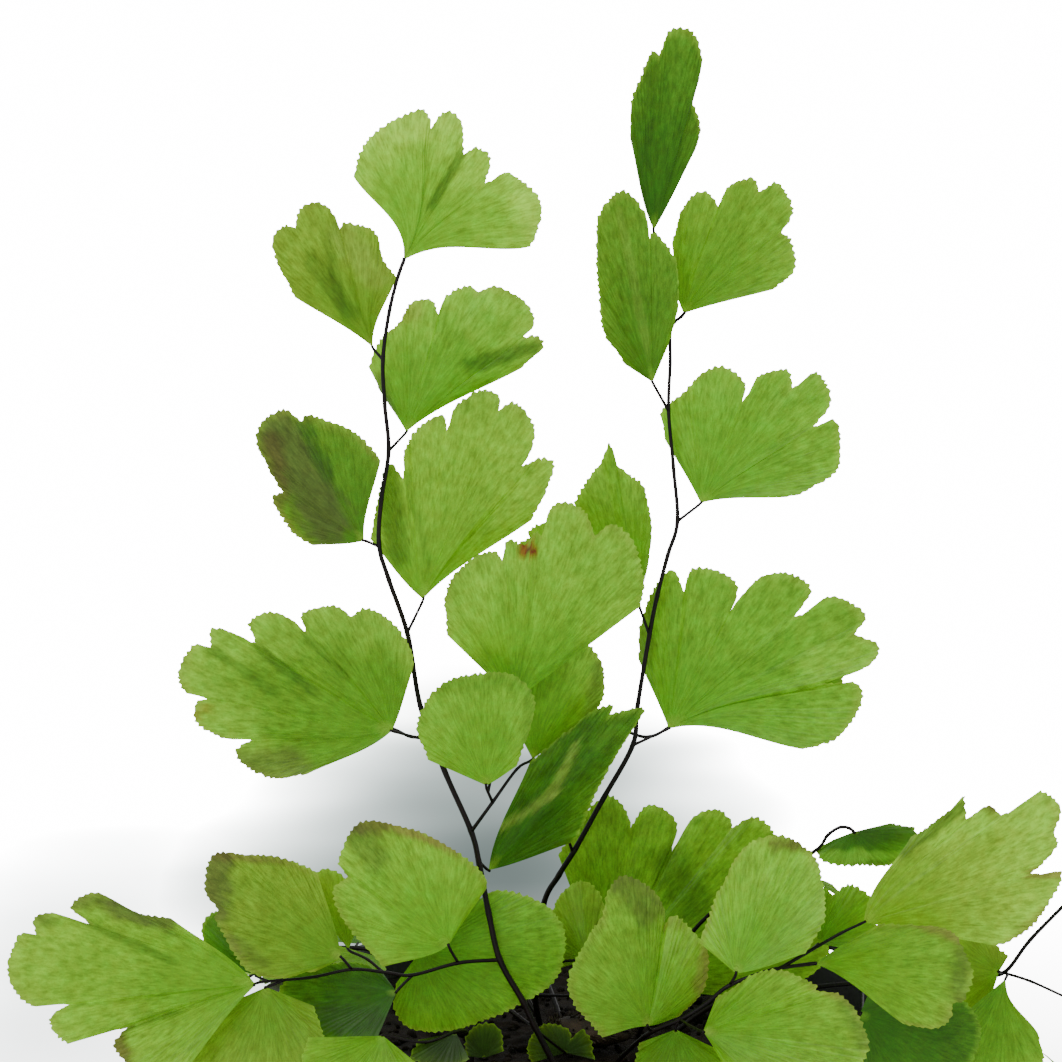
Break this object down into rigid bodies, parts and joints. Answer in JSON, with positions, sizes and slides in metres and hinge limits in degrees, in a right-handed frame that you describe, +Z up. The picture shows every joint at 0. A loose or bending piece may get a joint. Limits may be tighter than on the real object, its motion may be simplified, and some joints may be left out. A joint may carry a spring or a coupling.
{
  "type": "potted maidenhair fern",
  "caption": "Small maidenhair fern in a plain round pot: fan-shaped notched green leaflets on wiry near-black stems, two tall fronds over a low crowded skirt.",
  "frame": {"origin": "the middle of the pot's flat underside", "axes": "+Z up, +X to the right and -Y toward the viewer when the plant is seen from its front"},
  "size_m": [0.1385, 0.1095, 0.1985],
  "materials": {
    "leaf_bright": "satin",
    "leaf_pale": "satin",
    "leaf_mid": "satin",
    "leaf_olive": "satin",
    "leaf_dusk": "satin",
    "leaf_dark": "satin",
    "stem": "satin",
    "pot_plastic": "matte",
    "soil": "matte",
    "rhizome_scales": "matte"
  },
  "bodies": {
    "root": {"frond_back": "leaf_mid", "frond_low_back_left": "leaf_mid", "frond_low_back_right": "leaf_mid", "frond_low_left": "leaf_mid", "frond_low_right": "leaf_mid", "frond_mid_left": "leaf_mid", "frond_mid_right": "leaf_mid", "leaf_centre_1": "leaf_bright", "leaf_centre_2": "leaf_bright", "leaf_centre_3": "leaf_mid", "leaf_centre_4": "leaf_dark", "leaf_curled": "leaf_dark", "leaf_far_right_1": "leaf_mid", "leaf_far_right_2": "leaf_mid", "leaf_far_right_3": "leaf_dark", "leaf_far_right_4": "leaf_bright", "leaf_far_right_5": "leaf_mid", "leaf_low_front_1": "leaf_olive", "leaf_low_front_2": "leaf_bright", "leaf_low_front_3": "leaf_dark", "leaf_low_front_4": "leaf_dark", "leaf_low_front_5": "leaf_dark", "leaf_low_left_1": "leaf_bright", "leaf_low_left_2": "leaf_olive", "leaf_low_left_3": "leaf_bright", "leaf_low_left_4": "leaf_dark", "leaf_low_left_5": "leaf_mid", "leaf_low_left_6": "leaf_mid", "leaf_low_left_7": "leaf_olive", "leaf_low_left_8": "leaf_dark", "leaf_low_right_1": "leaf_mid", "leaf_low_right_2": "leaf_bright", "leaf_low_right_3": "leaf_bright", "leaf_low_right_4": "leaf_olive", "leaf_low_right_5": "leaf_pale", "leaf_low_right_6": "leaf_bright", "leaf_low_right_7": "leaf_mid", "leaf_low_right_8": "leaf_mid", "leaf_tall_left_1": "leaf_bright", "leaf_tall_left_2": "leaf_mid", "leaf_tall_left_3": "leaf_bright", "leaf_tall_left_4": "leaf_dusk", "leaf_tall_left_5": "leaf_mid", "leaf_tall_left_6": "leaf_mid", "leaf_tall_right_1": "leaf_dark", "leaf_tall_right_2": "leaf_dusk", "leaf_tall_right_3": "leaf_mid", "leaf_tall_right_4": "leaf_bright", "leaf_tall_right_5": "leaf_dark", "leaf_tall_right_6": "leaf_bright", "leaf_tall_right_7": "leaf_dark", "pot": "pot_plastic", "rhizome": "rhizome_scales", "soil": "soil", "stem_curled": "stem", "stem_far_right": "stem", "stem_front_left": "stem", "stem_left": "stem", "stem_right": "stem", "stem_right_low": "stem"}
  },
  "joints": []
}
